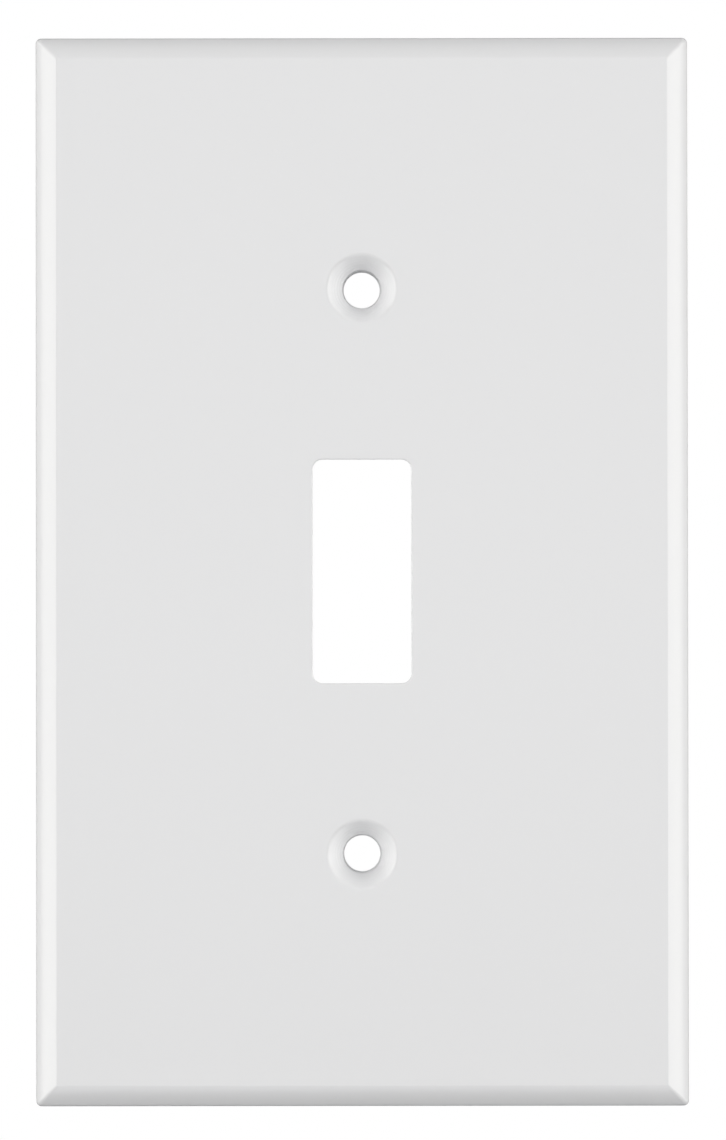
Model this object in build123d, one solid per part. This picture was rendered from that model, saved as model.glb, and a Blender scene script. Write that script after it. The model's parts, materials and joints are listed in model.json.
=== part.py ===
from build123d import *
import math
import os

# A one-gang toggle wall plate: one moulding, with nothing fitted to it. Millimetres.
# It is drawn lying on its wall plane: X across, Y up the wall, Z out of the wall.
# At the end it is stood up, so that +Z is up and the front face looks along -Y.
# The origin is the middle of the wall plane, level with the middle of the toggle slot.

# Overall size
plate_width = 69.85
plate_height = 114.3
plate_depth = 5.6
side_draft = 1.0  # degrees, so that the moulding leaves its tool

# Bevel round the front: an arc that starts at a crease and steepens towards the side
bevel_width = 2.0
bevel_inner_slope = 13.0  # degrees from the front face
bevel_outer_slope = 60.0
edge_round = 0.75  # between the bevel and the side
corner_round = 0.65

# Hollow back: a shallow recess inside the rim, then eight deeper cells between the ribs
rim_width = 1.7
recess_depth = 1.5
recess_corner = 1.2
recess_draft = 2.0
ledge_width = 0.6
face_thickness = 2.3
rib_thickness = 1.4
cell_corner = 1.0
cell_draft = 3.0
floor_round = 0.5

# Toggle slot, with its collar on the back
slot_width = 10.5
slot_height = 23.85
slot_corner = 1.08
slot_draft = 3.0  # the slot widens towards the wall
collar_wall = 1.8

# Screw holes, for oval-head screws, with their bosses on the back
screw_spacing = 60.325
screw_hole_radius = 1.95
throat_radius = 2.08  # where the countersink ends
throat_length = 1.1
sink_radius = 3.45  # where the cone would meet the front face
sink_half_angle = 41.0
lip_round = 0.8
boss_radius = 5.5

# Worked out
half_width = plate_width / 2
half_height = plate_height / 2
floor_level = plate_depth - face_thickness
cell_depth = floor_level - recess_depth
screw_height = screw_spacing / 2
sink_depth = (sink_radius - throat_radius) / math.tan(math.radians(sink_half_angle))
ledge_inset = rim_width + recess_depth * math.tan(math.radians(recess_draft)) + ledge_width
cell_half_width = half_width - ledge_inset
cell_half_height = half_height - ledge_inset
collar_half_width = slot_width / 2 + collar_wall
collar_half_height = slot_height / 2 + collar_wall


def facing(slope, radius):
    """The step from an arc's centre to the point where its surface has this slope."""
    turned = math.radians(slope)
    return Vector(radius * math.sin(turned), radius * math.cos(turned))


def bevelled_bar(half_across, half_along):
    """A bar along Y with the plate's side, edge round and bevel down both of its long sides."""
    side_slope = 90.0 - side_draft
    sines = [math.sin(math.radians(s)) for s in (bevel_inner_slope, bevel_outer_slope)]
    bevel_radius = bevel_width / (sines[1] - sines[0])
    crease = Vector(0, plate_depth)
    bevel_centre = crease - facing(bevel_inner_slope, bevel_radius)
    bevel_end = bevel_centre + facing(bevel_outer_slope, bevel_radius)
    round_centre = bevel_end - facing(bevel_outer_slope, edge_round)
    side_top = round_centre + facing(side_slope, edge_round)
    # Slide the bevel across until its side, which leans in by the draft, starts at the overall size
    lean = side_top.Y * math.tan(math.radians(side_draft))
    across = Vector(half_across - lean - side_top.X, 0)
    mid_bevel = bevel_centre + facing((bevel_inner_slope + bevel_outer_slope) / 2, bevel_radius)
    mid_round = round_centre + facing((bevel_outer_slope + side_slope) / 2, edge_round)
    half_outline = [
        Line((0, 0), (half_across, 0)),
        Line((half_across, 0), side_top + across),
        ThreePointArc(side_top + across, mid_round + across, bevel_end + across),
        ThreePointArc(bevel_end + across, mid_bevel + across, crease + across),
        Line(crease + across, (0, plate_depth)),
        Line((0, plate_depth), (0, 0)),
    ]
    half_section = make_face(half_outline)
    section = half_section + mirror(half_section, about=Plane.YZ)
    return extrude(Plane.XZ * section, amount=half_along, both=True)


def outer_body():
    """The solid outside of the plate: two crossed bars, which meet in mitred corners."""
    upright = bevelled_bar(half_width, half_height)
    crossways = Rot(0, 0, 90) * bevelled_bar(half_height, half_width)
    body = upright & crossways

    def on_mitre(edge):
        middle = edge @ 0.5
        return abs((half_width - abs(middle.X)) - (half_height - abs(middle.Y))) < 1e-4

    return fillet(body.edges().filter_by(on_mitre), min(corner_round, 0.9 * edge_round))


def back_recess():
    """The shallow recess inside the rim, from the wall plane to the tops of the ribs."""
    mouth = RectangleRounded(plate_width - 2 * rim_width, plate_height - 2 * rim_width, recess_corner)
    return extrude(mouth, recess_depth, taper=recess_draft)


def back_cells():
    """The eight deep cells that the spine, the cross ribs, the collar and the bosses leave between them."""
    plan = Rectangle(2 * cell_half_width, 2 * cell_half_height)
    plan -= Rectangle(rib_thickness, plate_height)
    plan -= Rectangle(2 * collar_half_width, 2 * collar_half_height)
    for height in (-screw_height, 0, screw_height):
        plan -= Pos(0, height) * Rectangle(plate_width, rib_thickness)
    for height in (-screw_height, screw_height):
        plan -= Pos(0, height) * Circle(boss_radius)
    cells = extrude(Pos(0, 0, recess_depth) * plan, cell_depth, taper=cell_draft)
    levels = cells.edges().group_by(Axis.Z)
    corners = cells.edges() - levels[0] - levels[-1]
    cells = fillet(corners, cell_corner)
    return fillet(cells.edges().group_by(Axis.Z)[-1], floor_round)


def toggle_slot():
    """The slot that the toggle comes through, narrowest at the front face."""
    mouth = Pos(0, 0, plate_depth) * RectangleRounded(slot_width, slot_height, slot_corner)
    return extrude(mouth, -plate_depth, taper=-slot_draft)


def screw_hole():
    """A countersunk hole turned about Z: lip, cone, throat and straight hole, from the front to the wall plane."""
    cone_slope = 90.0 - sink_half_angle
    tangent = lip_round * math.tan(math.radians(cone_slope / 2))
    along_cone = Vector(-math.cos(math.radians(cone_slope)), -math.sin(math.radians(cone_slope)))
    lip_centre = Vector(sink_radius + tangent, plate_depth - lip_round)
    lip_start = Vector(sink_radius + tangent, plate_depth)
    lip_middle = lip_centre + Vector(
        -lip_round * math.sin(math.radians(cone_slope / 2)),
        lip_round * math.cos(math.radians(cone_slope / 2)),
    )
    lip_end = Vector(sink_radius, plate_depth) + along_cone * tangent
    throat_top = Vector(throat_radius, plate_depth - sink_depth)
    throat_end = Vector(screw_hole_radius, throat_top.Y - throat_length)
    above = plate_depth + lip_round
    outline = [
        Line((0, 0), (screw_hole_radius, 0)),
        Line((screw_hole_radius, 0), throat_end),
        Line(throat_end, throat_top),
        Line(throat_top, lip_end),
        ThreePointArc(lip_end, lip_middle, lip_start),
        Line(lip_start, (lip_start.X, above)),
        Line((lip_start.X, above), (0, above)),
        Line((0, above), (0, 0)),
    ]
    return revolve(Plane.XZ * make_face(outline), Axis.Z)


def wall_plate():
    plate = outer_body() - back_recess() - back_cells() - toggle_slot()
    for height in (-screw_height, screw_height):
        plate -= Pos(0, height) * screw_hole()
    return Plane.XZ * plate


def main():
    os.makedirs("parts", exist_ok=True)
    plate = wall_plate().solid()
    export_step(plate, "parts/wall_plate.step")
    size = plate.bounding_box().size
    print(f"wall_plate {size.X:.2f} x {size.Y:.2f} x {size.Z:.2f} mm, {plate.volume:.0f} mm3")


main()
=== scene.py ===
import bmesh
import bpy
import json
import math
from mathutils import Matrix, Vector, geometry


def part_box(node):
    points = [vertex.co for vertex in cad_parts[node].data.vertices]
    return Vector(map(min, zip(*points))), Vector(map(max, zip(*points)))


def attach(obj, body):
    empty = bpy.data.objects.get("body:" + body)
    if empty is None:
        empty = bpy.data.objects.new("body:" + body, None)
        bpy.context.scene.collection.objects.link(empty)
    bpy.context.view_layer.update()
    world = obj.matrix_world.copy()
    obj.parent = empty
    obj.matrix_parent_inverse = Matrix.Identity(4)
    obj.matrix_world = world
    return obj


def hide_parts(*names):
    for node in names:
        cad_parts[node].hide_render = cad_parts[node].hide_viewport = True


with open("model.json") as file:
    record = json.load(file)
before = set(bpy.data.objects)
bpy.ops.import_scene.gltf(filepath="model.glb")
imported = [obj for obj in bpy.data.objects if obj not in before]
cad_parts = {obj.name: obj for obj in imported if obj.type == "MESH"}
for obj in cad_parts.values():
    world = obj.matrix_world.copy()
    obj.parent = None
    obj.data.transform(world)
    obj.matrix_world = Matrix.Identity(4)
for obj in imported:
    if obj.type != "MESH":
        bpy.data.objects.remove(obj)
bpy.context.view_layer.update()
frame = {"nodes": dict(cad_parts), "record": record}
cadLow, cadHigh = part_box("wall_plate")
mounts = {mount["name"]: mount for mount in frame["record"]["mounts"]}
print("frame loaded:", sorted(frame["nodes"]))

# Outlines and profiles are drawn in millimetres, and the finished mesh is brought to metres.
# x runs across, z up the wall, and a level is a height above the wall plane, towards the room.
millimetre = 0.001
plate = {
    "halfWidth": (cadHigh.x - cadLow.x) / 2 / millimetre,
    "halfHeight": (cadHigh.z - cadLow.z) / 2 / millimetre,
    "depth": (cadHigh.y - cadLow.y) / millimetre,
    "screwHeight": mounts["upper_screw_hole"]["pos_m"][2] / millimetre,
    "guard": 0.07,  # a flat strip beside each round, which keeps its shading off the flats
    "weldDistance": 0.002,
    "shortestEdge": 0.0005,
}


# An outline is a list of (point, outward direction) in the plane of the plate.
def arc(centre, radius, start, end, steps):
    # clockwise where it bulges into the shape, so the outward side swaps
    pairs = []
    for i in range(steps + 1):
        angle = math.radians(start + (end - start) * i / steps)
        direction = Vector((math.cos(angle), math.sin(angle)))
        outward = direction if end > start else -direction
        pairs.append((Vector(centre) + direction * radius, outward))
    return pairs


def joined(arcs, steps):
    # the arcs in turn, with the straight run after each one cut into its number of steps
    outline = []
    for i, pairs in enumerate(arcs):
        outline += pairs
        start, outward = pairs[-1]
        end = arcs[(i + 1) % len(arcs)][0][0]
        outline += [(start.lerp(end, k / steps[i]), outward) for k in range(1, steps[i])]
    return outline


def roundedRectangle(halfX, halfZ, radius, cornerSteps, sideSteps):
    x, z = halfX - radius, halfZ - radius
    corners = [((x, z), 0), ((-x, z), 90), ((-x, -z), 180), ((x, -z), 270)]
    arcs = [arc(centre, radius, start, start + 90, cornerSteps) for centre, start in corners]
    return joined(arcs, list(sideSteps) * 2)


def circle(centre, radius, segments):
    return arc(centre, radius, 0, 360, segments)[:-1]


def mirrored(outline, signX, signZ):
    return [(Vector((p.x * signX, p.y * signZ)), Vector((n.x * signX, n.y * signZ))) for p, n in outline]


class Profile:
    # a path across an edge, as (distance out, level, heading), with the plastic on its left
    def __init__(self, out, level, heading):
        self.points = [(out, level, heading)]

    def straight(self, length):
        out, level, heading = self.points[-1]
        guard = plate["guard"]
        stops = [guard, length - guard, length] if length > 3 * guard else [length]
        for stop in stops:
            step = Vector((math.cos(math.radians(heading)), math.sin(math.radians(heading)))) * stop
            self.points.append((out + step.x, level + step.y, heading))
        return self

    def outTo(self, out):
        return self.straight(abs(out - self.points[-1][0]))

    def turn(self, heading, radius, steps):
        out, level, start = self.points[-1]
        signed = radius if heading > start else -radius
        for i in range(1, steps + 1):
            now = start + (heading - start) * i / steps
            sideways = signed * (math.sin(math.radians(now)) - math.sin(math.radians(start)))
            self.points.append((out + sideways, level + rise(start, now, radius), now))
        return self

    def runTo(self, level, heading, radius, steps):
        # straight on, until a round of this radius ends at this level
        start = self.points[-1]
        left = level - start[1] - rise(start[2], heading, radius)
        self.straight(left / math.sin(math.radians(start[2])))
        return self.turn(heading, radius, steps)


def rise(start, end, radius):
    signed = radius if end > start else -radius
    return signed * (math.cos(math.radians(start)) - math.cos(math.radians(end)))


def tangent(turned, radius):
    # how far a round of this turn starts before the sharp corner
    return radius * math.tan(math.radians(abs(turned)) / 2)


class Shell:
    # the open mesh that collects rings, the strips between them and the flats
    def __init__(self):
        self.mesh = bmesh.new()

    def ring(self, outline, out, level):
        places = [point + outward * out for point, outward in outline]
        return [self.mesh.verts.new((place.x, -level, place.y)) for place in places]

    def strip(self, rings):
        for first, second in zip(rings, rings[1:]):
            for i in range(len(first)):
                self.mesh.faces.new((first[i - 1], first[i], second[i], second[i - 1]))

    def sweep(self, outline, profile):
        rings = [self.ring(outline, out, level) for out, level, heading in profile.points]
        self.strip(rings)
        return rings

    def fill(self, rings):
        # a flat between the first ring and the holes that the others make in it
        corners, loops = [], []
        for ring in rings:
            loops.append(list(range(len(corners), len(corners) + len(ring))))
            corners += ring
        flat = [Vector((corner.co.x, corner.co.z)) for corner in corners]
        insideWithHoles, closeness = 2, 1e-6
        result = geometry.delaunay_2d_cdt(flat, [], loops, insideWithHoles, closeness)
        triangles, origins = result[2], result[3]
        for triangle in triangles:
            self.mesh.faces.new([corners[origins[i][0]] for i in triangle])


# the border is one walk from the recess to the face: rim, side, rounded edge and bevel
border = {
    "rimWidth": 1.7,
    "recessDepth": 1.5,
    "recessCorner": 1.2,
    "recessDraft": 2,
    "recessRootRound": 0.2,
    "rimRound": 0.12,
    "sideDraft": 1,
    "edgeRound": 0.75,
    "cornerRound": 0.65,
    "bevelWidth": 2.05,
    "bevelInnerSlope": 26,  # degrees from the face, at the crease
    "bevelOuterSlope": 46,
    "creaseRound": 0.2,
    "sharpestCorner": 0.04,
    "faceStrip": 0.25,  # flat run inside the crease
    "sideStep": 5,
    "cornerSteps": 12,
    "rootSteps": 6,
    "rimSteps": 5,
    "edgeSteps": 8,
    "bevelSteps": 20,
    "creaseSteps": 4,
}


def borderProfile():
    b = border
    wall = b["recessDraft"] - 90
    root = -b["rimWidth"] - b["recessDepth"] * math.tan(math.radians(b["recessDraft"]))
    side = 90 + b["sideDraft"]
    outer, inner = 180 - b["bevelOuterSlope"], 180 - b["bevelInnerSlope"]
    sines = [math.sin(math.radians(heading)) for heading in (outer, inner)]
    bevelRadius = b["bevelWidth"] / (sines[0] - sines[1])
    bevelRise = rise(outer, inner, bevelRadius) + rise(inner, 180, b["creaseRound"])
    profile = Profile(root - tangent(wall, b["recessRootRound"]) - plate["guard"], b["recessDepth"], 0)
    profile.straight(plate["guard"])
    profile.turn(wall, b["recessRootRound"], b["rootSteps"])
    profile.runTo(0, 0, b["rimRound"], b["rimSteps"])
    profile.outTo(-tangent(side, b["rimRound"]))
    profile.turn(side, b["rimRound"], b["rimSteps"])
    profile.runTo(plate["depth"] - bevelRise, outer, b["edgeRound"], b["edgeSteps"])
    profile.turn(inner, bevelRadius, b["bevelSteps"])
    profile.turn(180, b["creaseRound"], b["creaseSteps"])
    return profile.straight(b["faceStrip"])


def borderCorner(out, heading):
    # the corner is a mitre with a constant round, so it looks sharper where the bevel is flatter
    if out < -border["rimWidth"] / 2 and heading <= 90:
        return border["recessCorner"] + border["rimWidth"] + out
    if heading <= 90 + border["sideDraft"]:
        return border["cornerRound"] + out
    between = math.acos(math.cos(math.radians(180 - heading)) ** 2)
    return max(border["sharpestCorner"], border["cornerRound"] * math.tan(between / 2))


def addBorder(shell):
    steps = [round(2 * plate[side] / border["sideStep"]) for side in ("halfWidth", "halfHeight")]
    rings = []
    for out, level, heading in borderProfile().points:
        outline = roundedRectangle(
            plate["halfWidth"] + out, plate["halfHeight"] + out,
            borderCorner(out, heading), border["cornerSteps"], steps,
        )
        rings.append(shell.ring(outline, 0, level))
    shell.strip(rings)
    return rings[0], rings[-1]


# the toggle slot runs from the face through to the top of its collar
slot = {
    "halfWidth": 10.5 / 2,
    "halfHeight": 23.85 / 2,
    "corner": 1.08,
    "draft": 3,
    "lipRound": 0.14,
    "collarRound": 0.15,
    "collarWall": 1.8,
    "sideSteps": (4, 10),
    "cornerSteps": 14,
    "lipSteps": 6,
    "collarSteps": 5,
}


def addSlot(shell):
    outline = roundedRectangle(
        slot["halfWidth"], slot["halfHeight"], slot["corner"], slot["cornerSteps"], slot["sideSteps"]
    )
    wall = 270 + slot["draft"]
    start = tangent(wall - 180, slot["lipRound"]) + plate["guard"]
    profile = Profile(start, plate["depth"], 180).straight(plate["guard"])
    profile.turn(wall, slot["lipRound"], slot["lipSteps"])
    profile.runTo(border["recessDepth"], 360, slot["collarRound"], slot["collarSteps"])
    profile.straight(plate["guard"])
    rings = shell.sweep(outline, profile)
    return rings[0], rings[-1]


# eight deep cells lie between the ribs, four outer and four inner
cells = {
    "ledge": 0.6,
    "ribThickness": 1.4,
    "bossRadius": 5.5,
    "corner": 1.0,
    "draft": 3,
    "faceThickness": 2.3,
    "floorRound": 0.5,
    "mouthRound": 0.14,
    "straightStep": 5,
    "shortestStep": 1e-4,
    "cornerSteps": 8,
    "bossSteps": 14,
    "floorSteps": 8,
    "mouthSteps": 5,
}


def cellLimits():
    lean = border["recessDepth"] * math.tan(math.radians(border["recessDraft"]))
    inset = border["rimWidth"] + lean + cells["ledge"]
    return plate["halfWidth"] - inset, plate["halfHeight"] - inset


def cornerArc(x, z, start):
    # a rounded inside corner, which starts at this heading of its outward side
    r = cells["corner"]
    inward = math.radians(start + 45)
    centre = (x - r * math.copysign(1, math.cos(inward)), z - r * math.copysign(1, math.sin(inward)))
    return arc(centre, r, start, start + 90, cells["cornerSteps"])


def bossReach():
    # how far along a rib the round into the boss has its centre
    along = cells["bossRadius"] + cells["corner"]
    return math.sqrt(along ** 2 - (cells["ribThickness"] / 2 + cells["corner"]) ** 2)


def bossArcs(up):
    # round into the boss, the boss itself and round out of it, above or below the boss
    r, steps, screw = cells["corner"], cells["cornerSteps"], plate["screwHeight"]
    side, reach = cells["ribThickness"] / 2 + r, bossReach()
    tilt = math.degrees(math.atan2(side, reach))
    boss, bend = (0, screw), cells["bossRadius"]
    if up:
        onSpine = arc((side, screw + reach), r, 180, 270 - tilt, steps)
        onRib = arc((reach, screw + side), r, 180 + tilt, 270, steps)
        return [onSpine, arc(boss, bend, 90 - tilt, tilt, cells["bossSteps"]), onRib]
    onRib = arc((reach, screw - side), r, 90, 180 - tilt, steps)
    onSpine = arc((side, screw - reach), r, 90 + tilt, 180, steps)
    return [onRib, arc(boss, bend, -tilt, tilt - 90, cells["bossSteps"]), onSpine]


def withStraights(arcs):
    steps = []
    for i, pairs in enumerate(arcs):
        length = (arcs[(i + 1) % len(arcs)][0][0] - pairs[-1][0]).length
        steps.append(max(1, round(length / cells["straightStep"])))
    merged = joined(arcs, steps)
    shortest = cells["shortestStep"]
    return [pair for i, pair in enumerate(merged) if (pair[0] - merged[i - 1][0]).length > shortest]


def outerCell():
    x, z = cellLimits()
    rib, screw = cells["ribThickness"] / 2, plate["screwHeight"]
    corners = [cornerArc(x, screw + rib, 270), cornerArc(x, z, 0), cornerArc(rib, z, 90)]
    return withStraights(corners + bossArcs(True))


def innerCell():
    x, rib, r = cellLimits()[0], cells["ribThickness"] / 2, cells["corner"]
    collarX, collarZ = (slot[side] + slot["collarWall"] for side in ("halfWidth", "halfHeight"))
    collarCorner = arc((collarX - r, collarZ - r), r, 90, 0, cells["cornerSteps"])
    return withStraights(
        [cornerArc(x, rib, 270), cornerArc(x, plate["screwHeight"] - rib, 0)]
        + bossArcs(False)
        + [cornerArc(rib, collarZ, 180), collarCorner, cornerArc(collarX, rib, 180)]
    )


def cellFloor():
    return plate["depth"] - cells["faceThickness"]


def addCell(shell, outline, markPlace):
    wall = cells["draft"] - 90
    floor, mouth = cellFloor(), border["recessDepth"]
    foot = -(floor - mouth) * math.tan(math.radians(cells["draft"])) - tangent(wall, cells["floorRound"])
    profile = Profile(foot - plate["guard"], floor, 0).straight(plate["guard"])
    profile.turn(wall, cells["floorRound"], cells["floorSteps"])
    profile.runTo(mouth, 0, cells["mouthRound"], cells["mouthSteps"]).straight(plate["guard"])
    rings = shell.sweep(outline, profile)
    markEdge = circle(markPlace, pinMark["radius"] + pinMark["apron"], turned["segments"])
    shell.fill([rings[0], shell.ring(markEdge, 0, floor)])
    return rings[-1]


# the screw seats and the prints of the ejector pins are turned
turned = {"segments": 96, "railRadius": 10}
seat = {
    "coneRadius": 3.62,  # where the cone would meet the face
    "halfAngle": 41,
    "lipRound": 0.55,
    "throatRadius": 2.08,
    "throatLength": 1.1,
    "throatRound": 0.08,
    "holeRadius": mounts["upper_screw_hole"]["dims"]["r_mm"],
    "boreRound": 0.5,  # from the throat into the straight hole
    "backRound": 0.2,
    "ringPitch": 0.42,
    "ringHeight": 0.008,
    "lipSteps": 12,
    "coneSteps": 40,
    "throatSteps": 4,
    "boreSteps": 2,
    "backSteps": 6,
}
pinMark = {
    "radius": 2.0,
    "depth": 0.1,
    "round": 0.08,
    "dish": 0.02,
    "dishStops": (0.25, 0.5, 0.75, 1),  # shares of the way from the middle to the edge
    "edgeSlope": -60,
    "edgeWidth": 0.04,
    "apron": 0.25,  # flat run round the print
}


def seatProfile():
    slope = 90 - seat["halfAngle"]
    start = seat["coneRadius"] + tangent(slope, seat["lipRound"])
    profile = Profile(start + plate["guard"], plate["depth"], 180).straight(plate["guard"])
    profile.turn(180 + slope, seat["lipRound"], seat["lipSteps"])
    lipEnd = profile.points[-1]
    narrowing = math.degrees(math.atan2(seat["throatRadius"] - seat["holeRadius"], seat["throatLength"]))
    throat = 270 - narrowing
    coneLength = (lipEnd[0] - seat["throatRadius"]) / math.cos(math.radians(slope))
    coneLength -= tangent(throat - 180 - slope, seat["throatRound"])
    profile.points += coneRings(lipEnd, coneLength, slope)
    profile.turn(throat, seat["throatRound"], seat["throatSteps"])
    profile.straight(seat["throatLength"])
    profile.turn(270, seat["boreRound"], seat["boreSteps"])
    profile.runTo(border["recessDepth"], 360, seat["backRound"], seat["backSteps"])
    return profile.straight(plate["guard"])


def coneRings(start, length, slope):
    # fine rings that the turned tool left, which fade out at both ends of the cone
    steps = seat["coneSteps"]
    along = Vector((-math.cos(math.radians(slope)), -math.sin(math.radians(slope))))
    across = Vector((-along.y, along.x))
    points = []
    for i in range(1, steps + 1):
        part = i / steps
        wave = math.sin(2 * math.pi * part * length / seat["ringPitch"]) * math.sin(math.pi * part)
        place = Vector(start[:2]) + along * length * part + across * wave * seat["ringHeight"]
        points.append((place.x, place.y, 180 + slope))
    return points


def markProfile():
    floor, deep = cellFloor(), cellFloor() + pinMark["depth"]
    profile = Profile(0, deep - pinMark["dish"], 0)
    edge = pinMark["radius"] - pinMark["round"]
    for part in pinMark["dishStops"]:
        profile.points.append((edge * part, deep - pinMark["dish"] * (1 - part ** 2), 0))
    profile.points.append((pinMark["radius"], floor + pinMark["round"] / 3, pinMark["edgeSlope"]))
    profile.points.append((pinMark["radius"] + pinMark["edgeWidth"], floor, 0))
    return profile.outTo(pinMark["radius"] + pinMark["apron"])


def addNode(tree, kind, settings, values):
    # settings come first, because they change which sockets there are
    made = tree.nodes.new(kind)
    for name, setting in settings.items():
        setattr(made, name, setting)
    for key, value in values.items():
        if isinstance(value, bpy.types.NodeSocket):
            tree.links.new(value, made.inputs[key])
        else:
            made.inputs[key].default_value = value
    return made


def turnedTree():
    # sweeps a drawn profile round a circle and puts the result at each place
    tree = bpy.data.node_groups.new("turnedFeature", "GeometryNodeTree")
    inputs = {
        "Places": "Geometry",
        "Profile": "Object",
        "Segments": "Int",
        "Rail Radius": "Float",
        "Material": "Material",
    }
    for name, kind in inputs.items():
        tree.interface.new_socket(name, in_out="INPUT", socket_type="NodeSocket" + kind)
    tree.interface.new_socket("Geometry", in_out="OUTPUT", socket_type="NodeSocketGeometry")
    given = addNode(tree, "NodeGroupInput", {}, {}).outputs

    def node(kind, values, **settings):
        return addNode(tree, "GeometryNode" + kind, settings, values).outputs[0]

    drawn = addNode(tree, "GeometryNodeObjectInfo", {}, {"Object": given["Profile"]})
    line = node("MeshToCurve", {"Mesh": drawn.outputs["Geometry"]})
    rail = node("CurvePrimitiveCircle", {"Resolution": given["Segments"], "Radius": given["Rail Radius"]})
    upright = node("SetCurveNormal", {"Curve": rail}, mode="Z_UP")
    swept = node("CurveToMesh", {"Curve": upright, "Profile Curve": line})
    facing = node("Transform", {"Geometry": swept, "Rotation": (-math.pi / 2, 0, 0)})
    copies = node("InstanceOnPoints", {"Points": given["Places"], "Instance": facing})
    real = node("RealizeInstances", {"Geometry": copies})
    coated = node("SetMaterial", {"Geometry": real, "Material": given["Material"]})
    addNode(tree, "NodeGroupOutput", {}, {"Geometry": coated})
    return tree


def lineObject(name, points, edges):
    mesh = bpy.data.meshes.new(name)
    mesh.from_pydata(points, edges, [])
    made = bpy.data.objects.new(name, mesh)
    bpy.context.scene.collection.objects.link(made)
    return made


def turnedMesh(name, tree, places, profile, material):
    # the profile is swept round a rail circle, so it is drawn from the rail's own radius
    rail = turned["railRadius"]
    points = [(out - rail, level, 0) for out, level, heading in profile.points]
    drawing = lineObject(name + "Profile", points, [(i, i + 1) for i in range(len(points) - 1)])
    holder = lineObject(name, [(x, 0, z) for x, z in places], [])
    modifier = holder.modifiers.new(name, "NODES")
    modifier.node_group = tree
    inputs = [item for item in tree.interface.items_tree if item.in_out == "INPUT"]
    sockets = {item.name: item.identifier for item in inputs}
    modifier[sockets["Profile"]] = drawing
    modifier[sockets["Segments"]] = turned["segments"]
    modifier[sockets["Rail Radius"]] = rail
    modifier[sockets["Material"]] = material
    bpy.context.view_layer.update()
    evaluated = holder.evaluated_get(bpy.context.evaluated_depsgraph_get())
    mesh = bpy.data.meshes.new_from_object(evaluated)
    holder.modifiers.remove(modifier)
    bpy.data.objects.remove(holder)
    bpy.data.objects.remove(drawing)
    return mesh


class Value:
    # a socket that sums and products can be written with
    def __init__(self, shader, socket):
        self.shader, self.socket = shader, socket

    def maths(self, operation, first, second):
        return self.shader.node("ShaderNodeMath", {"operation": operation}, {0: first, 1: second})

    def __add__(self, other):
        return self.maths("ADD", self, other)

    def __radd__(self, other):
        return self.maths("ADD", other, self)

    def __sub__(self, other):
        return self.maths("SUBTRACT", self, other)

    def __rsub__(self, other):
        return self.maths("SUBTRACT", other, self)

    def __mul__(self, other):
        return self.maths("MULTIPLY", self, other)

    def __rmul__(self, other):
        return self.maths("MULTIPLY", other, self)


class Shader:
    def __init__(self, name):
        self.material = bpy.data.materials.new(name)
        self.material.use_nodes = True
        self.tree = self.material.node_tree
        self.surface = self.tree.nodes["Principled BSDF"]

    def feed(self, socket, value):
        self.tree.links.new(value.socket, self.surface.inputs[socket])

    def node(self, kind, settings, values, output=0):
        plain = {key: getattr(value, "socket", value) for key, value in values.items()}
        return Value(self, addNode(self.tree, kind, settings, plain).outputs[output])

    def place(self):
        # object coordinates in millimetres
        metres = self.node("ShaderNodeTexCoord", {}, {}, "Object")
        values = {0: metres, "Scale": 1 / millimetre}
        return self.node("ShaderNodeVectorMath", {"operation": "SCALE"}, values)

    def noise(self, place, size, detail=2.0):
        values = {"Vector": place, "Scale": 1 / size, "Detail": detail}
        return self.node("ShaderNodeTexNoise", {}, values)

    def smooth(self, value, low, high):
        # 0 below low, 1 above high, eased between them
        limits = {"Value": value, "From Min": low, "From Max": high}
        return self.node("ShaderNodeMapRange", {"interpolation_type": "SMOOTHSTEP"}, limits)


plastic = {
    "lightTone": (0.803, 0.805, 0.818, 1),
    "darkTone": (0.790, 0.792, 0.805, 1),
    "refraction": 1.5,
    "gloss": 0.23,  # roughness of the polished front
    "backRoughness": 0.46,
    "grainRoughness": 0.08,
    "toneRoughness": 0.05,
    "grainSize": 0.16,
    "peelSize": 1.3,
    "sinkSize": 22,
    "grainHeight": 0.0000006,  # heights in metres
    "peelHeight": 0.0000022,
    "sinkHeight": 0.00003,
    "dullInset": (1.6, 1.2),  # in from the outline, where the back's finish is full and where it ends
    "dullDepth": (0.6, 0.2),  # in front of the cell floors, where it starts and where it is full
}


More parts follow.
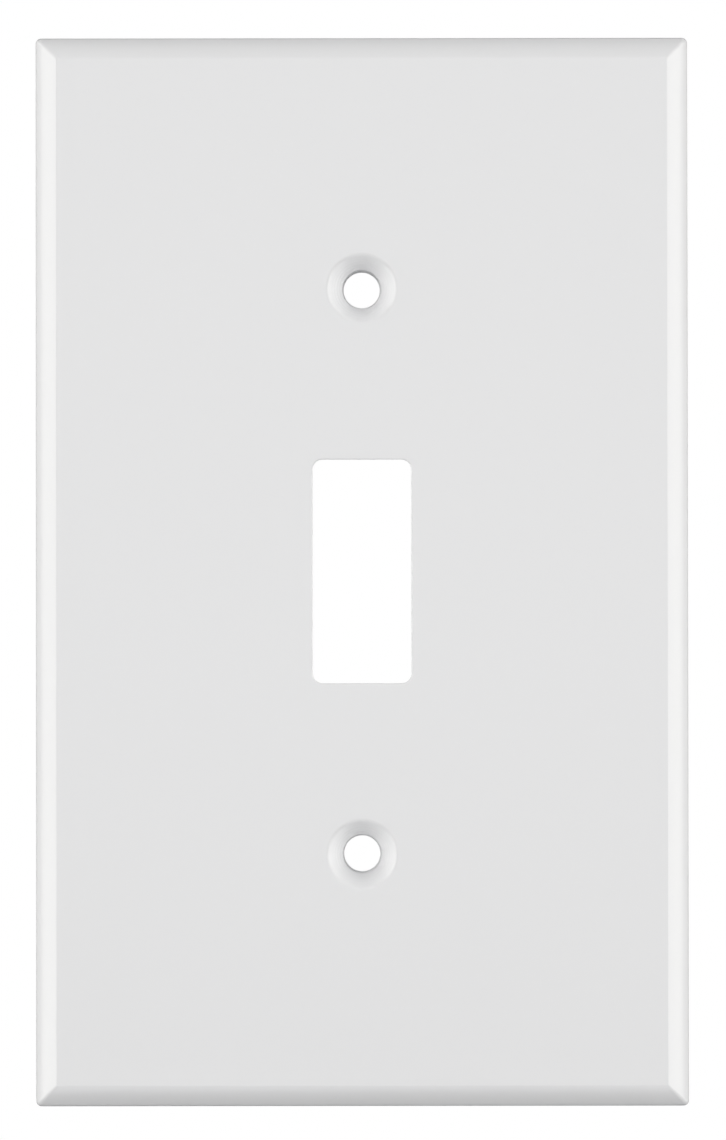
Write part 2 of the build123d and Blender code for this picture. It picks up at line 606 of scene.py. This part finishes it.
def platePlastic():
    shader = Shader("platePlastic")
    place = shader.place()
    tone = shader.noise(place, plastic["sinkSize"], 3.0)
    peel = shader.noise(place, plastic["peelSize"])
    grain = shader.noise(place, plastic["grainSize"])
    sinks = shader.noise(place, plastic["sinkSize"], 1.0)
    mixed = shader.node("ShaderNodeMix", {"data_type": "RGBA"},
                        {0: tone, 6: plastic["darkTone"], 7: plastic["lightTone"]}, 2)
    shader.feed("Base Color", mixed)

    # the back of the moulding is duller than its polished front
    x, y, z = (shader.node("ShaderNodeSeparateXYZ", {}, {"Vector": place}, axis) for axis in "XYZ")
    starts, ends = (-cellFloor() - depth for depth in plastic["dullDepth"])
    behind = shader.smooth(y, starts, ends)
    for across, half in ((x, plate["halfWidth"]), (z, plate["halfHeight"])):
        full, gone = ((half - inset) ** 2 for inset in plastic["dullInset"])
        behind = behind * (1 - shader.smooth(across * across, full, gone))
    roughness = plastic["gloss"] + behind * (plastic["backRoughness"] - plastic["gloss"])
    for pattern, amount in ((grain, plastic["grainRoughness"]), (tone, plastic["toneRoughness"])):
        roughness = roughness + (pattern - 0.5) * amount
    shader.feed("Roughness", roughness)

    tallest = plastic["sinkHeight"]
    fine = grain * (plastic["grainHeight"] / tallest) + peel * (plastic["peelHeight"] / tallest)
    height = fine + sinks
    bump = shader.node("ShaderNodeBump", {}, {"Strength": 1.0, "Distance": tallest, "Height": height})
    shader.feed("Normal", bump)
    shader.surface.inputs["IOR"].default_value = plastic["refraction"]
    return shader.material


def buildPlate(material):
    shell = Shell()
    recessEdge, faceEdge = addBorder(shell)
    slotFront, slotBack = addSlot(shell)
    marks, cellMouths = [], []
    x, z = cellLimits()
    collarX = slot["halfWidth"] + slot["collarWall"]
    outerPlace = ((cells["ribThickness"] / 2 + x) / 2, (plate["screwHeight"] + z) / 2)
    innerPlace = ((collarX + x) / 2, plate["screwHeight"] / 2)
    for outline, place in ((outerCell(), outerPlace), (innerCell(), innerPlace)):
        for signX in (-1, 1):
            for signZ in (-1, 1):
                marks.append((place[0] * signX, place[1] * signZ))
                cellMouths.append(addCell(shell, mirrored(outline, signX, signZ), marks[-1]))
    print("border, slot and cells:", len(shell.mesh.faces), "faces")

    screws = [(0, plate["screwHeight"]), (0, -plate["screwHeight"])]
    profile = seatProfile()
    fronts, backs = (
        [shell.ring(circle(place, out, turned["segments"]), 0, level) for place in screws]
        for out, level, heading in (profile.points[0], profile.points[-1])
    )
    shell.fill([faceEdge, slotFront] + fronts)
    shell.fill([recessEdge, slotBack] + cellMouths + backs)

    tree = turnedTree()
    shell.mesh.from_mesh(turnedMesh("screwSeats", tree, screws, profile, material))
    shell.mesh.from_mesh(turnedMesh("pinMarks", tree, marks, markProfile(), material))
    print("screw seats and pin marks turned:", len(shell.mesh.faces), "faces")

    bmesh.ops.remove_doubles(shell.mesh, verts=shell.mesh.verts, dist=plate["weldDistance"])
    bmesh.ops.dissolve_degenerate(shell.mesh, edges=shell.mesh.edges, dist=plate["shortestEdge"])
    bmesh.ops.recalc_face_normals(shell.mesh, faces=shell.mesh.faces)
    bmesh.ops.scale(shell.mesh, vec=(millimetre,) * 3, verts=shell.mesh.verts)
    openEdges = sum(1 for edge in shell.mesh.edges if len(edge.link_faces) != 2)
    if shell.mesh.calc_volume(signed=True) < 0:
        bmesh.ops.reverse_faces(shell.mesh, faces=shell.mesh.faces)
    print("open edges:", openEdges, "volume in mm3:", round(shell.mesh.calc_volume() / millimetre ** 3))
    mesh = bpy.data.meshes.new("wallPlate")
    shell.mesh.to_mesh(mesh)
    shell.mesh.free()
    mesh.polygons.foreach_set("use_smooth", [True] * len(mesh.polygons))
    mesh.materials.append(material)
    made = bpy.data.objects.new("wallPlate", mesh)
    bpy.context.scene.collection.objects.link(made)
    return made


studio = {
    "backgroundLight": 1.0,
    "ambientLight": 0.02,
    "floorSize": 6.0,
    "unseenLight": "backPanel",  # it lights the back, but it is not seen or reflected
}
warm, plain, cool = (1, 0.991, 0.964), (1, 1, 1), (0.975, 0.985, 1)
# each light: where it comes from in degrees (round the plate, then up), distance, size, power, tint
lights = {
    "leftSoftbox": ((-66, 3), 0.9, (0.62, 1.12), 8.1, warm),
    "rightSoftbox": ((66, 3), 0.9, (0.62, 1.12), 8.1, warm),
    "frontPanel": ((0, 3), 1.2, (0.51, 0.38), 0.73, cool),
    "overheadPanel": ((0, 39), 1.1, (0.98, 0.59), 1.85, cool),
    "topPanel": ((0, 66), 1.0, (1.15, 0.65), 1.9, plain),
    "lowPanel": ((0, -54), 0.9, (0.48, 0.38), 1.2, cool),
    "lowFill": ((0, -54), 1.0, (1.68, 0.73), 0.95, cool),
    "backPanel": ((192, 14), 1.4, (0.8, 0.8), 15.0, plain),
}
camera = {
    "distance": 0.6,
    "viewHeight": 1.063,  # how many plate heights the view takes in
    "sensor": 36,
    "aimAcross": 0.0001,
    "aimUp": 0.00015,
    "below": 0.006,  # how far under the middle of the plate it stands
    "roll": 0.07,
    "nearest": 0.01,
}


def buildFloor():
    mesh = bpy.data.meshes.new("floor")
    half, low = studio["floorSize"] / 2, cadLow.z
    corners = [(-half, -half, low), (half, -half, low), (half, half, low), (-half, half, low)]
    mesh.from_pydata(corners, [], [(0, 1, 2, 3)])
    floor = bpy.data.objects.new("floor", mesh)
    bpy.context.scene.collection.objects.link(floor)
    material = bpy.data.materials.new("paleFloor")
    material.use_nodes = True
    surface = material.node_tree.nodes["Principled BSDF"]
    surface.inputs["Base Color"].default_value = (0, 0, 0, 1)
    surface.inputs["Specular IOR Level"].default_value = 0
    surface.inputs["Emission Color"].default_value = (1, 1, 1, 1)
    surface.inputs["Emission Strength"].default_value = studio["backgroundLight"]
    mesh.materials.append(material)
    floor.visible_diffuse = floor.visible_glossy = floor.visible_shadow = False


def buildWorld():
    # the backdrop is seen as plain white, and lights the plate only faintly
    world = bpy.data.worlds.new("studio")
    bpy.context.scene.world = world
    world.use_nodes = True
    tree = world.node_tree
    white = (1, 1, 1, 1)
    soft, seen = (
        addNode(tree, "ShaderNodeBackground", {}, {"Color": white, "Strength": studio[strength]})
        for strength in ("ambientLight", "backgroundLight")
    )
    isSeen = addNode(tree, "ShaderNodeLightPath", {}, {}).outputs["Is Camera Ray"]
    mix = addNode(tree, "ShaderNodeMixShader", {}, {0: isSeen, 1: soft.outputs[0], 2: seen.outputs[0]})
    tree.links.new(mix.outputs[0], tree.nodes["World Output"].inputs["Surface"])


def buildLights():
    for name, (angles, distance, size, power, tint) in lights.items():
        around, up = (math.radians(angle) for angle in angles)
        level = math.cos(up)
        direction = Vector((math.sin(around) * level, -math.cos(around) * level, math.sin(up)))
        data = bpy.data.lights.new(name, "AREA")
        data.shape = "RECTANGLE"
        data.size, data.size_y = size
        data.energy = power
        data.color = tint
        lamp = bpy.data.objects.new(name, data)
        lamp.visible_camera = lamp.visible_glossy = name != studio["unseenLight"]
        lamp.location = direction * distance
        lamp.rotation_euler = direction.to_track_quat("Z", "Y").to_euler()
        bpy.context.scene.collection.objects.link(lamp)


def buildCamera():
    data = bpy.data.cameras.new("camera")
    data.sensor_fit = "VERTICAL"
    data.sensor_height = camera["sensor"]
    viewHeight = camera["viewHeight"] * (cadHigh.z - cadLow.z)
    data.lens = camera["sensor"] * camera["distance"] / viewHeight
    data.clip_start = camera["nearest"]
    made = bpy.data.objects.new("camera", data)
    level = camera["aimUp"] - camera["below"]
    made.location = (camera["aimAcross"], cadLow.y - camera["distance"], level)
    lift = math.atan(camera["below"] / camera["distance"])
    made.rotation_euler = (math.pi / 2 + lift, math.radians(camera["roll"]), 0)
    bpy.context.scene.collection.objects.link(made)
    bpy.context.scene.camera = made


wallPlate = buildPlate(platePlastic())
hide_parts("wall_plate")
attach(wallPlate, "root")
buildFloor()
buildWorld()
buildLights()
buildCamera()
bpy.context.scene.view_settings.view_transform = "Standard"
print("floor, light and camera set")
